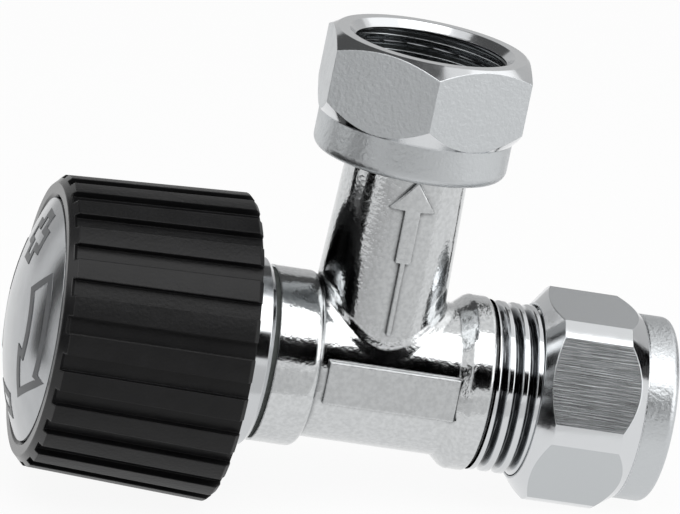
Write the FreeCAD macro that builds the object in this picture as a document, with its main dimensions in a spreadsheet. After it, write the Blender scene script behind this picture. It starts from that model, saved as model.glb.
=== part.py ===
"""Isolating valve: an angle stop valve with a knob, a swivel nut and a compression end.

The valve axis is X, with the knob at -X and the pipe at +X. The branch stands along +Z.
The origin is the stop in the pipe socket, where the end of the supply pipe comes to rest.
"""
import FreeCAD, Part
import os
import re

import Sketcher

# Driving dimensions in millimetres
SIZES = {
    # Pipe socket and its thread
    "pipe_diameter": "15.0",
    "pipe_clearance": "0.05",
    "socket_depth": "12.5",
    "mouth_cone_depth": "2.0",
    "mouth_cone_rise": "1.15",
    "thread_diameter": "20.955",
    "thread_length": "10.7",
    "thread_chamfer": "0.7",
    "relief_width": "0.4",
    "relief_depth": "0.5",
    # Outside of the body
    "branch_to_stop": "12.0",
    "shoulder_diameter": "21.5",
    "shoulder_width": "2.9",
    "shoulder_round": "0.5",
    "shoulder_flank": "1.3",
    "barrel_diameter": "18.8",
    "collar_diameter": "21.6",
    "collar_to_branch": "7.6",
    "face_to_branch": "13.3",
    "step_round": "1.1",
    "branch_diameter": "15.0",
    "branch_inset": "1.1",
    "branch_height": "31.5",
    "branch_chamfer": "0.4",
    "panel_width": "5.3",
    "panel_rise": "0.3",
    "panel_root": "1.5",
    "panel_margin": "1.1",
    "arrow_proud": "0.55",
    "arrow_tip_gap": "0.5",
    "arrow_head_length": "3.7",
    "arrow_head_width": "5.7",
    "arrow_shaft_length": "6.5",
    "arrow_shaft_width": "1.9",
    "arrow_tail_length": "9.0",
    "arrow_tail_width": "0.6",
    # Waterway
    "branch_bore": "11.0",
    "chamber_bore": "14.5",
    "seat_to_branch": "6.0",
    "seat_bore": "9.5",
    "seat_lip_diameter": "12.4",
    "seat_lip_height": "1.0",
    # Clearances
    "thread_gap": "0.07",
    "running_gap": "0.1",
    "slide_gap": "0.1",
    "seal_gap": "0.03",
    "seat_gap": "0.05",
    "end_clearance": "0.3",
    # Disc carrier, washer and screw
    "lift": "4.0",
    "washer_diameter": "12.3",
    "washer_thickness": "3.55",
    "cup_wall": "0.55",
    "cup_depth": "1.0",
    "head_thickness": "2.1",
    "stem_diameter": "11.8",
    "stem_length": "7.3",
    "guide_across_flats": "10.0",
    "guide_length": "6.0",
    "carrier_thread_depth": "11.0",
    "carrier_groove_depth": "1.15",
    "carrier_ring_section": "1.17",
    "carrier_ring_to_head": "5.8",
    "washer_screw_diameter": "3.0",
    "washer_screw_length": "5.0",
    "washer_screw_head": "5.6",
    "washer_screw_head_height": "1.7",
    # Spindle and its seals
    "spindle_diameter": "8.0",
    "spindle_thread_diameter": "7.0",
    "spindle_collar_diameter": "9.8",
    "spindle_collar_thickness": "1.2",
    "thrust_thickness": "0.8",
    "seal_length": "7.0",
    "ring_section": "1.1",
    "ring_groove_depth": "1.1",
    "upper_ring_to_top": "2.1",
    "lower_ring_to_top": "5.1",
    "clip_thickness": "0.8",
    "clip_diameter": "11.0",
    "clip_groove_depth": "0.8",
    "clip_opening": "70.0",
    "clip_land": "0.4",
    "square_across_flats": "5.6",
    "square_length": "7.0",
    # Bonnet
    "bonnet_gasket_thickness": "0.6",
    "bonnet_gasket_diameter": "21.0",
    "bonnet_thread_diameter": "16.66",
    "bonnet_thread_length": "7.3",
    "nose_diameter": "14.2",
    "flange_diameter": "23.0",
    "flange_width": "3.1",
    "flange_chamfer": "0.6",
    "bonnet_across_flats": "19.0",
    "bonnet_hex_length": "5.5",
    "neck_diameter": "13.0",
    # Knob, its cap and its screw
    "knob_length": "23.6",
    "knob_rim_width": "2.95",
    "knob_draft": "1.15",
    "knob_wall": "2.3",
    "knob_bevel": "1.1",
    "rib_count": "24",
    "groove_width": "2.1",
    "groove_depth": "0.95",
    "groove_front_land": "1.0",
    "bezel_recess": "3.5",
    "bezel_gap": "0.12",
    "bezel_chamfer": "0.45",
    "web_thickness": "2.5",
    "socket_floor": "2.8",
    "boss_diameter": "13.0",
    "boss_gap": "0.3",
    "stay_count": "6",
    "stay_thickness": "1.4",
    "stay_setback": "3.0",
    "cap_diameter": "29.7",
    "cap_dome": "3.4",
    "cap_wall": "1.4",
    "knob_screw_diameter": "3.9",
    "knob_screw_length": "9.5",
    "knob_screw_head": "7.2",
    "knob_screw_head_height": "2.2",
    "screw_slot_width": "1.0",
    "screw_slot_depth": "1.1",
    # Compression nut and olive
    "exposed_thread": "6.0",
    "nut_wall": "1.5225",
    "nut_corner_turned": "0.7",
    "nut_rest_angle": "6.0",
    "nut_length": "16.9",
    "nut_entry_rise": "2.3",
    "nut_entry_chamfer": "1.8",
    "nut_hex_end": "10.3",
    "nut_taper_end": "13.0",
    "nut_collar_step": "0.6",
    "nut_collar_round": "0.9",
    "nut_thread_gap": "0.12",
    "nut_thread_end": "11.2",
    "nut_cone_rise": "1.3",
    "nut_cone_end": "13.4",
    "nut_hole_clearance": "0.15",
    "olive_width": "7.0",
    "olive_wall": "1.2",
    "olive_clearance": "0.04",
    "olive_flank": "1.8",
    "olive_edge": "0.32",
    "olive_to_nut_face": "5.6",
    # Swivel nut, its ring and the outlet gasket
    "swivel_across_flats": "24.0",
    "swivel_rest_angle": "5.5",
    "swivel_height": "15.0",
    "swivel_below_branch_top": "5.1",
    "swivel_collar_height": "4.7",
    "swivel_collar_gap": "0.1",
    "swivel_collar_round": "1.3",
    "swivel_lower_taper": "2.4",
    "swivel_upper_taper": "1.5",
    "swivel_upper_fall": "2.2",
    "swivel_clearance": "0.2",
    "outlet_thread_bore": "18.631",
    "outlet_mouth_chamfer": "0.9",
    "outlet_relief_start": "4.6",
    "outlet_relief_height": "2.8",
    "outlet_relief_depth": "1.2",
    "wire_diameter": "1.6",
    "wire_height": "2.4",
    "wire_gap": "0.06",
    "wire_opening": "24.0",
    "gasket_thickness": "2.0",
    "gasket_diameter": "18.0",
    "gasket_hole": "11.2",
}

# Stations along the valve axis, measured from the branch axis and positive towards the pipe,
# and the radii that several pieces share
DERIVED = {
    "mouth": "branch_to_stop + socket_depth",
    "thread_start": "mouth - thread_length",
    "shoulder_start": "thread_start - shoulder_width",
    "collar_end": "-collar_to_branch",
    "body_face": "-face_to_branch",
    "flange_face": "body_face - bonnet_gasket_thickness",
    "bonnet_thread_end": "body_face + bonnet_thread_length",
    "washer_face": "seat_to_branch - seat_gap",
    "cup_floor": "washer_face - washer_thickness",
    "head_back": "cup_floor - head_thickness",
    "stem_end": "head_back - stem_length",
    "guide_end": "stem_end - guide_length",
    "carrier_thread_end": "guide_end + carrier_thread_depth",
    "carrier_ring_station": "head_back - carrier_ring_to_head",
    "nose_end": "head_back - lift - end_clearance",
    "round_bore_end": "stem_end - lift - end_clearance",
    "spindle_tip": "carrier_thread_end - lift - end_clearance",
    "spindle_collar_face": "guide_end - lift - end_clearance",
    "spindle_collar_back": "spindle_collar_face - spindle_collar_thickness",
    "gland_shoulder": "spindle_collar_back - thrust_thickness - running_gap",
    "bonnet_top": "gland_shoulder - seal_length",
    "clip_face": "bonnet_top - running_gap",
    "clip_back": "clip_face - clip_thickness",
    "square_start": "clip_back - clip_land",
    "boss_end": "square_start - boss_gap",
    "spindle_end": "square_start - square_length",
    "bezel_floor": "spindle_end - socket_floor",
    "web_back": "bezel_floor + web_thickness",
    "knob_front": "bezel_floor - bezel_recess",
    "knob_rear": "knob_front + knob_length",
    "nut_face": "thread_start + exposed_thread",
    "nut_across_flats": "thread_diameter + 2 * nut_wall",
    "nut_collar_radius": "nut_across_flats / 2 - nut_collar_step",
    "swivel_base": "branch_height - swivel_below_branch_top",
    "socket_radius": "pipe_diameter / 2 + pipe_clearance",
    "branch_radius": "branch_diameter / 2",
    "branch_root_radius": "barrel_radius - branch_inset",
    "barrel_radius": "barrel_diameter / 2",
    "spindle_radius": "spindle_diameter / 2",
    "knob_front_radius": "cap_diameter / 2 + knob_rim_width",
    "knob_rear_radius": "knob_front_radius + knob_draft",
    "knob_slope": "(knob_rear_radius - knob_front_radius) / knob_length",
    "ring_groove_floor": "spindle_radius - ring_groove_depth",
    "carrier_groove_floor": "stem_diameter / 2 - carrier_groove_depth",
    "wire_ring_radius": "branch_radius + swivel_clearance / 2",
}

WORD = re.compile(r"[a-z][a-z_]*")
MIDDLE = "Symmetric"
BEYOND_CORNERS = 0.75
SAME = 1e-4
DOME = "dome"
CUTTING_FEATURES = ("PartDesign::Pocket", "PartDesign::Groove")

DOC = FreeCAD.newDocument("isolating_valve")
SHEET = DOC.addObject("Spreadsheet::Sheet", "Sizes")
SUB_PARTS = []


def fill_sheet():
    """Write each driving dimension to its own row, with its name as the cell's alias."""
    for row, (name, number) in enumerate(SIZES.items(), start=1):
        SHEET.set(f"A{row}", name)
        SHEET.set(f"B{row}", number)
        SHEET.setAlias(f"B{row}", name)
    DOC.recompute()


def bound(text):
    """Return an expression with every size and derived name spelled out as sheet cells."""
    def spell(match):
        word = match.group(0)
        if word in SIZES:
            return "Sizes." + word
        if word in DERIVED:
            return "(" + bound(DERIVED[word]) + ")"
        return word
    return WORD.sub(spell, text)


def number(text):
    """Return an expression's present value, for a sketch's first position."""
    return float(SHEET.evalExpression(bound(text)))


def place(piece, along="0", up="0"):
    """Bind a piece's place: its station on the valve axis and its height on the branch axis."""
    piece.setExpression(".Placement.Base.x", bound(f"{along} - branch_to_stop"))
    piece.setExpression(".Placement.Base.z", bound(up))


def new_body(label, along="0", up="0"):
    """Start a body with its own label and place."""
    body = DOC.addObject("PartDesign::Body", label)
    body.Label = label
    place(body, along, up)
    return body


def new_sketch(body, name, role, offset="0"):
    """Attach a sketch to one of the body's origin planes, moved along the plane's normal."""
    plane = next(item for item in body.Origin.OriginFeatures if item.Role == role)
    sketch = body.newObject("Sketcher::SketchObject", name)
    sketch.AttachmentSupport = [(plane, "")]
    sketch.MapMode = "FlatFace"
    sketch.setExpression(".AttachmentOffset.Base.z", bound(offset))
    return sketch


def pin(sketch, geometry, end, across, upward):
    """Hold one point of a sketch at two expressions, measured from the sketch's origin."""
    spot = sketch.getPoint(geometry, end)
    for kind, text, start, axis in (("DistanceX", across, spot.x, -2), ("DistanceY", upward, spot.y, -1)):
        if text == "0":
            sketch.addConstraint(Sketcher.Constraint("PointOnObject", geometry, end, axis))
            continue
        index = sketch.addConstraint(Sketcher.Constraint(kind, -1, 1, geometry, end, start))
        sketch.setExpression(f"Constraints[{index}]", bound(text))


def bowed(start, end, radius):
    """Return the arc between two points that bows to the left of the way from start to end."""
    chord = end - start
    left = FreeCAD.Vector(-chord.y, chord.x, 0).normalize()
    rise = radius - (radius ** 2 - chord.Length ** 2 / 4) ** 0.5
    return Part.Arc(start, start + chord * 0.5 + left * rise, end)


def domed(start, end):
    """Return the arc between two points whose centre lies on the sketch's horizontal axis."""
    station = (end.Length ** 2 - start.Length ** 2) / (2 * (end.x - start.x))
    centre = FreeCAD.Vector(station, 0, 0)
    outward = ((start + end) * 0.5 - centre).normalize()
    return Part.Arc(start, centre + outward * (start - centre).Length, end)


def outline(sketch, points, arcs=None):
    """Draw a closed outline through points given as expressions; arcs maps a side to its radius.

    An arc marked as a dome has its centre on the sketch's horizontal axis instead.
    """
    arcs = arcs or {}
    spots = [FreeCAD.Vector(number(across), number(upward), 0) for across, upward in points]
    sides = []
    for index, spot in enumerate(spots):
        following = spots[(index + 1) % len(spots)]
        if index not in arcs:
            curve = Part.LineSegment(spot, following)
        elif arcs[index] == DOME:
            curve = domed(spot, following)
        else:
            curve = bowed(spot, following, number(arcs[index]))
        geometry = sketch.addGeometry(curve, False)
        forward = sketch.getPoint(geometry, 1).isEqual(spot, 1e-6)
        sides.append((geometry, 1, 2) if forward else (geometry, 2, 1))
    for index, (geometry, _, last) in enumerate(sides):
        after, after_first, _ = sides[(index + 1) % len(sides)]
        sketch.addConstraint(Sketcher.Constraint("Coincident", geometry, last, after, after_first))
    for (geometry, first, _), (across, upward) in zip(sides, points):
        pin(sketch, geometry, first, across, upward)
    for index, text in arcs.items():
        curve = sides[index][0]
        if text == DOME:
            sketch.addConstraint(Sketcher.Constraint("PointOnObject", curve, 3, -1))
            continue
        held = sketch.addConstraint(Sketcher.Constraint("Radius", curve, number(text)))
        sketch.setExpression(f"Constraints[{held}]", bound(text))


def circle(sketch, radius, across="0", upward="0"):
    """Draw a circle of a bound radius about a bound centre."""
    centre = FreeCAD.Vector(number(across), number(upward), 0)
    geometry = sketch.addGeometry(Part.Circle(centre, FreeCAD.Vector(0, 0, 1), number(radius)), False)
    pin(sketch, geometry, 3, across, upward)
    held = sketch.addConstraint(Sketcher.Constraint("Radius", geometry, number(radius)))
    sketch.setExpression(f"Constraints[{held}]", bound(radius))


def hexagon(sketch, across_flats, corner_up=True):
    """Draw a hexagon of a bound width across flats, with a corner or a flat facing up."""
    flat = f"({across_flats}) / 2"
    corner = f"({across_flats}) / sqrt(3)"
    side = f"({across_flats}) / (2 * sqrt(3))"
    points = [
        ("0", corner),
        (f"-{flat}", side),
        (f"-{flat}", f"-{side}"),
        ("0", f"-{corner}"),
        (flat, f"-{side}"),
        (flat, side),
    ]
    if not corner_up:
        points = [(f"-({upward})" if upward != "0" else "0", across) for across, upward in points]
    outline(sketch, points)


def turn(body, name, points, arcs=None, axis="H_Axis", role="XY_Plane", cut=False, opening=None):
    """Revolve an outline about a sketch axis, as added or removed material."""
    sketch = new_sketch(body, name + "_outline", role)
    outline(sketch, points, arcs)
    feature = body.newObject("PartDesign::Groove" if cut else "PartDesign::Revolution", name)
    feature.Profile = sketch
    feature.ReferenceAxis = (sketch, [axis])
    feature.Angle = 360
    if opening:
        feature.setExpression("Angle", bound(f"360 - {opening}"))
    return feature


def extrude(body, name, sketch, length, cut=False, middle=False, reverse=False):
    """Pad or pocket a sketch by a bound length."""
    feature = body.newObject("PartDesign::Pocket" if cut else "PartDesign::Pad", name)
    feature.Profile = sketch
    feature.Reversed = reverse
    if middle:
        feature.SideType = MIDDLE
    feature.setExpression("Length", bound(length))
    return feature


def trim_to_hexagon(body, name, role, across_flats, start, length, corner_up=True):
    """Cut flats on a turned blank, between a ring outside the corners and a hexagon."""
    sketch = new_sketch(body, name + "_outline", role, start)
    circle(sketch, f"({across_flats}) * {BEYOND_CORNERS}")
    hexagon(sketch, across_flats, corner_up)
    extrude(body, name, sketch, length, cut=True, reverse=True)


def repeat(body, name, feature, sketch, axis, count):
    """Repeat a feature all round a sketch axis."""
    pattern = body.newObject("PartDesign::PolarPattern", name)
    pattern.Originals = [feature]
    pattern.Axis = (sketch, [axis])
    pattern.Angle = 360
    pattern.setExpression("Occurrences", bound(f"round({count})"))
    body.Tip = pattern
    return pattern


def round_edges(body, name, radius, chosen):
    """Fillet the edges of the body's last feature that a test picks."""
    DOC.recompute()
    last = body.Tip
    names = [f"Edge{index}" for index, edge in enumerate(last.Shape.Edges, start=1) if chosen(edge)]
    feature = body.newObject("PartDesign::Fillet", name)
    feature.Base = (last, names)
    feature.setExpression("Radius", bound(radius))
    return feature


def ring_edge(station, radius, axis="x"):
    """Return a test for a full or part circle at a station along an axis, of a given radius."""
    def chosen(edge):
        curve = edge.Curve
        if not isinstance(curve, Part.Circle):
            return False
        along = getattr(curve.Center, axis)
        return abs(along - number(station)) < SAME and abs(curve.Radius - number(radius)) < SAME
    return chosen


def keep(piece):
    """List a finished piece for export."""
    SUB_PARTS.append(piece)


def flat_ring(label, along, length, inner, outer):
    """Turn a plain ring about the valve axis, from a station towards the pipe."""
    body = new_body(label, along)
    turn(body, label + "_ring", [("0", inner), (length, inner), (length, outer), ("0", outer)])
    keep(body)


def seal_ring(label, along, middle_radius, section):
    """Make a round-section seal about the valve axis."""
    ring = DOC.addObject("Part::Torus", label)
    ring.Label = label
    ring.setExpression("Radius1", bound(middle_radius))
    ring.setExpression("Radius2", bound(f"({section}) / 2"))
    ring.Placement = FreeCAD.Placement(FreeCAD.Vector(), FreeCAD.Rotation(FreeCAD.Vector(0, 1, 0), 90))
    place(ring, along)
    keep(ring)


def forged_outside():
    """The tee's outside: barrel and branch, then collar, shoulder and thread."""
    body = new_body("tee_outside")
    turn(body, "barrel", [
        ("body_face", "0"),
        ("body_face", "barrel_radius"),
        ("thread_start", "barrel_radius"),
        ("thread_start", "0"),
    ])
    turn(body, "branch", [
        ("0", "0"),
        ("branch_root_radius", "0"),
        ("branch_radius", "swivel_base"),
        ("branch_radius", "branch_height - branch_chamfer"),
        ("branch_radius - branch_chamfer", "branch_height"),
        ("0", "branch_height"),
    ], axis="V_Axis", role="XZ_Plane")

    collar = "collar_diameter / 2"
    turn(body, "collar", [
        ("body_face", "0"),
        ("body_face", collar),
        ("collar_end - step_round", collar),
        ("collar_end", f"{collar} - step_round"),
        ("collar_end", "0"),
    ], arcs={2: "step_round"})
    shoulder = "shoulder_diameter / 2"
    relief_radius = "thread_diameter / 2 - relief_depth"
    relief_end = "thread_start + relief_width"
    turn(body, "shoulder_and_thread", [
        ("shoulder_start - shoulder_flank", "0"),
        ("shoulder_start - shoulder_flank", "barrel_radius"),
        ("shoulder_start", f"{shoulder} - shoulder_round / 2"),
        ("shoulder_start + shoulder_round", shoulder),
        ("thread_start - shoulder_round", shoulder),
        ("thread_start", f"{shoulder} - shoulder_round"),
        ("thread_start", relief_radius),
        (relief_end, relief_radius),
        (relief_end, "thread_diameter / 2"),
        ("mouth - thread_chamfer", "thread_diameter / 2"),
        ("mouth", "thread_diameter / 2 - thread_chamfer"),
        ("mouth", "0"),
    ], arcs={4: "shoulder_round"})

    wire_top = "swivel_base + wire_height + wire_diameter / 2 + wire_gap"
    wire_bottom = "swivel_base + wire_height - wire_diameter / 2 - wire_gap"
    wire_floor = "wire_ring_radius - wire_diameter / 2 - wire_gap"
    turn(body, "wire_groove", [
        (wire_floor, wire_bottom),
        ("branch_radius + wire_diameter", wire_bottom),
        ("branch_radius + wire_diameter", wire_top),
        (wire_floor, wire_top),
    ], axis="V_Axis", role="XZ_Plane", cut=True)

    for side, sign in (("front", ""), ("back", "-")):
        panel = new_sketch(body, f"{side}_panel_outline", "XZ_Plane", f"{sign}(barrel_radius + panel_rise)")
        left = "collar_end + panel_margin"
        right = "shoulder_start - panel_margin"
        outline(panel, [
            (left, "-panel_width / 2"),
            (right, "-panel_width / 2"),
            (right, "panel_width / 2"),
            (left, "panel_width / 2"),
        ])
        extrude(body, f"{side}_panel", panel, "panel_rise + panel_root", reverse=(side == "front"))
    return body


def flow_arrow():
    """The raised arrow on both sides of the branch: an arrow outline cut from a wider cone."""
    prism = new_body("arrow_prism")
    sketch = new_sketch(prism, "arrow_outline", "XZ_Plane")
    tip = "swivel_base - arrow_tip_gap"
    head = f"{tip} - arrow_head_length"
    shaft = f"{head} - arrow_shaft_length"
    tail = f"{shaft} - arrow_tail_length"
    right_side = [
        ("arrow_head_width / 2", head),
        ("arrow_shaft_width / 2", head),
        ("arrow_shaft_width / 2", shaft),
        ("arrow_tail_width / 2", shaft),
        ("arrow_tail_width / 2", tail),
    ]
    left_side = [(f"-{across}", upward) for across, upward in reversed(right_side)]
    outline(sketch, [("0", tip)] + right_side + left_side)
    extrude(prism, "arrow_pad", sketch, "2 * branch_diameter", middle=True)

    skin = DOC.addObject("Part::Cone", "arrow_skin")
    skin.setExpression("Radius1", bound("branch_root_radius + arrow_proud"))
    skin.setExpression("Radius2", bound("branch_radius + arrow_proud"))
    skin.setExpression("Height", bound("swivel_base"))
    place(skin)
    arrow = DOC.addObject("Part::Common", "flow_arrow")
    arrow.Base = prism
    arrow.Tool = skin
    return arrow


def waterway():
    """The hollow inside the tee: headwork thread, chamber, seat, pipe socket and branch bore."""
    body = new_body("waterway")
    thread_depth = "bonnet_thread_end + end_clearance"
    floor = "seat_to_branch + seat_lip_height"
    turn(body, "bores", [
        ("body_face", "0"),
        ("body_face", "bonnet_thread_diameter / 2 + thread_gap"),
        (thread_depth, "bonnet_thread_diameter / 2 + thread_gap"),
        (thread_depth, "chamber_bore / 2"),
        (floor, "chamber_bore / 2"),
        (floor, "seat_lip_diameter / 2"),
        ("seat_to_branch", "seat_lip_diameter / 2"),
        ("seat_to_branch", "seat_bore / 2"),
        ("branch_to_stop", "seat_bore / 2"),
        ("branch_to_stop", "socket_radius"),
        ("mouth - mouth_cone_depth", "socket_radius"),
        ("mouth", "socket_radius + mouth_cone_rise"),
        ("mouth", "0"),
    ])
    bore = new_sketch(body, "branch_bore_outline", "XY_Plane")
    circle(bore, "branch_bore / 2")
    extrude(body, "branch_bore_pad", bore, "branch_height")
    return body


def valve_body():
    """The tee in one piece: its outside with the arrows on it, less the waterway."""
    solid = DOC.addObject("Part::Fuse", "tee_with_arrow")
    solid.Base = forged_outside()
    solid.Tool = flow_arrow()
    body = DOC.addObject("Part::Cut", "valve_body")
    body.Label = "valve_body"
    body.Base = solid
    body.Tool = waterway()
    keep(body)


def bonnet():
    """The headwork shell: threaded shank and flange, spanner hexagon, neck, and bored inside."""
    body = new_body("bonnet")
    hex_start = "flange_face - flange_width"
    hex_end = f"{hex_start} - bonnet_hex_length"
    corner = "bonnet_across_flats / sqrt(3)"
    corner_chamfer = "(bonnet_across_flats / sqrt(3) - bonnet_across_flats / 2)"
    thread = "bonnet_thread_diameter / 2"
    turn(body, "shell", [
        ("bonnet_top", "0"),
        ("bonnet_top", "neck_diameter / 2"),
        (hex_end, "neck_diameter / 2"),
        (hex_end, "bonnet_across_flats / 2"),
        (f"{hex_end} + {corner_chamfer} / 2", corner),
        (hex_start, corner),
        (hex_start, "flange_diameter / 2"),
        ("flange_face - flange_chamfer", "flange_diameter / 2"),
        ("flange_face", "flange_diameter / 2 - flange_chamfer"),
        ("flange_face", thread),
        ("bonnet_thread_end", thread),
        ("bonnet_thread_end", "nose_diameter / 2"),
        ("nose_end", "nose_diameter / 2"),
        ("nose_end", "0"),
    ])
    trim_to_hexagon(body, "spanner_flats", "YZ_Plane", "bonnet_across_flats", hex_end, "bonnet_hex_length")
    turn(body, "bores", [
        ("bonnet_top", "0"),
        ("bonnet_top", "spindle_radius + seal_gap"),
        ("gland_shoulder", "spindle_radius + seal_gap"),
        ("gland_shoulder", "spindle_collar_diameter / 2 + slide_gap"),
        ("round_bore_end", "spindle_collar_diameter / 2 + slide_gap"),
        ("round_bore_end", "stem_diameter / 2 + slide_gap"),
        ("nose_end", "stem_diameter / 2 + slide_gap"),
        ("nose_end", "0"),
    ], cut=True)
    guide = new_sketch(body, "guide_outline", "YZ_Plane", "gland_shoulder")
    hexagon(guide, "guide_across_flats + 2 * slide_gap")
    extrude(body, "guide", guide, "round_bore_end - gland_shoulder", cut=True, reverse=True)
    keep(body)


def spindle():
    """The spindle: left-hand thread, thrust collar, sealed shank, clip groove and drive square."""
    body = new_body("spindle")
    half_groove = "(ring_section / 2 + slide_gap)"
    upper = "bonnet_top + upper_ring_to_top"
    lower = "bonnet_top + lower_ring_to_top"
    corner = "square_across_flats / sqrt(2)"
    points = [
        ("spindle_end", "0"),
        ("spindle_end", corner),
        ("square_start", corner),
        ("square_start", "spindle_radius"),
        ("clip_back", "spindle_radius"),
        ("clip_back", "spindle_radius - clip_groove_depth"),
        ("clip_face", "spindle_radius - clip_groove_depth"),
        ("clip_face", "spindle_radius"),
    ]
    for station in (upper, lower):
        points += [
            (f"{station} - {half_groove}", "spindle_radius"),
            (f"{station} - {half_groove}", "ring_groove_floor"),
            (f"{station} + {half_groove}", "ring_groove_floor"),
            (f"{station} + {half_groove}", "spindle_radius"),
        ]
    points += [
        ("spindle_collar_back", "spindle_radius"),
        ("spindle_collar_back", "spindle_collar_diameter / 2"),
        ("spindle_collar_face", "spindle_collar_diameter / 2"),
        ("spindle_collar_face", "spindle_thread_diameter / 2"),
        ("spindle_tip - thread_chamfer", "spindle_thread_diameter / 2"),
        ("spindle_tip", "spindle_thread_diameter / 2 - thread_chamfer"),
        ("spindle_tip", "0"),
    ]
    turn(body, "shank", points)
    flats = new_sketch(body, "square_outline", "YZ_Plane", "spindle_end")
    circle(flats, "square_across_flats")
    half = "square_across_flats / 2"
    outline(flats, [(f"-{half}", f"-{half}"), (half, f"-{half}"), (half, half), (f"-{half}", half)])
    extrude(body, "square", flats, "square_length", cut=True, reverse=True)
    hole = new_sketch(body, "screw_hole_outline", "YZ_Plane", "spindle_end")
    circle(hole, "knob_screw_diameter / 2 + thread_gap")
    depth = "knob_screw_length - socket_floor + end_clearance"
    extrude(body, "screw_hole", hole, depth, cut=True, reverse=True)
    keep(body)


def spindle_clip():
    """The open spring ring in the spindle's groove, above the bonnet."""
    body = new_body("spindle_clip", "clip_back")
    inner = "spindle_radius - clip_groove_depth + seal_gap"
    turn(body, "clip_ring", [
        ("slide_gap / 2", inner),
        ("clip_thickness - slide_gap / 2", inner),
        ("clip_thickness - slide_gap / 2", "clip_diameter / 2"),
        ("slide_gap / 2", "clip_diameter / 2"),
    ], opening="clip_opening")
    keep(body)


def disc_carrier():
    """The rising nut: cup for the washer, sealed round stem and hexagon guide, tapped inside."""
    body = new_body("disc_carrier")
    cup_radius = "washer_diameter / 2 + slide_gap"
    half_groove = "(carrier_ring_section / 2 + slide_gap)"
    corner = "guide_across_flats / sqrt(3)"
    screw_radius = "washer_screw_diameter / 2 + thread_gap"
    thread_radius = "spindle_thread_diameter / 2 + thread_gap"
    turn(body, "carrier", [
        ("guide_end", thread_radius),
        ("guide_end", corner),
        ("stem_end", corner),
        ("stem_end", "stem_diameter / 2"),
        (f"carrier_ring_station - {half_groove}", "stem_diameter / 2"),
        (f"carrier_ring_station - {half_groove}", "carrier_groove_floor"),
        (f"carrier_ring_station + {half_groove}", "carrier_groove_floor"),
        (f"carrier_ring_station + {half_groove}", "stem_diameter / 2"),
        ("head_back", "stem_diameter / 2"),
        ("head_back", f"{cup_radius} + cup_wall"),
        ("cup_floor + cup_depth", f"{cup_radius} + cup_wall"),
        ("cup_floor + cup_depth", cup_radius),
        ("cup_floor", cup_radius),
        ("cup_floor", screw_radius),
        ("carrier_thread_end", screw_radius),
        ("carrier_thread_end", thread_radius),
    ])
    trim_to_hexagon(body, "guide_flats", "YZ_Plane", "guide_across_flats", "guide_end", "guide_length")
    keep(body)


def slotted_screw(label, along, towards_knob, radius, length, head_radius, head_height):
    """A pan-head screw along the valve axis, its head's seat at a station, with a driving slot."""
    body = new_body(label, along)
    out, into = ("-", "") if towards_knob else ("", "-")
    turn(body, label + "_blank", [
        (f"{out}{head_height}", "0"),
        (f"{out}{head_height}", f"{head_radius} - {head_height} / 3"),
        (f"{out}{head_height} * 2 / 3", head_radius),
        ("0", head_radius),
        ("0", radius),
        (f"{into}{length}", radius),
        (f"{into}{length}", "0"),
    ])
    slot = new_sketch(body, label + "_slot_outline", "YZ_Plane", f"{out}{head_height}")
    half = "screw_slot_width / 2"
    outline(slot, [
        (f"-{head_radius}", f"-{half}"),
        (head_radius, f"-{half}"),
        (head_radius, half),
        (f"-{head_radius}", half),
    ])
    extrude(body, label + "_slot", slot, "screw_slot_depth", cut=True, reverse=towards_knob)
    keep(body)


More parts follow.
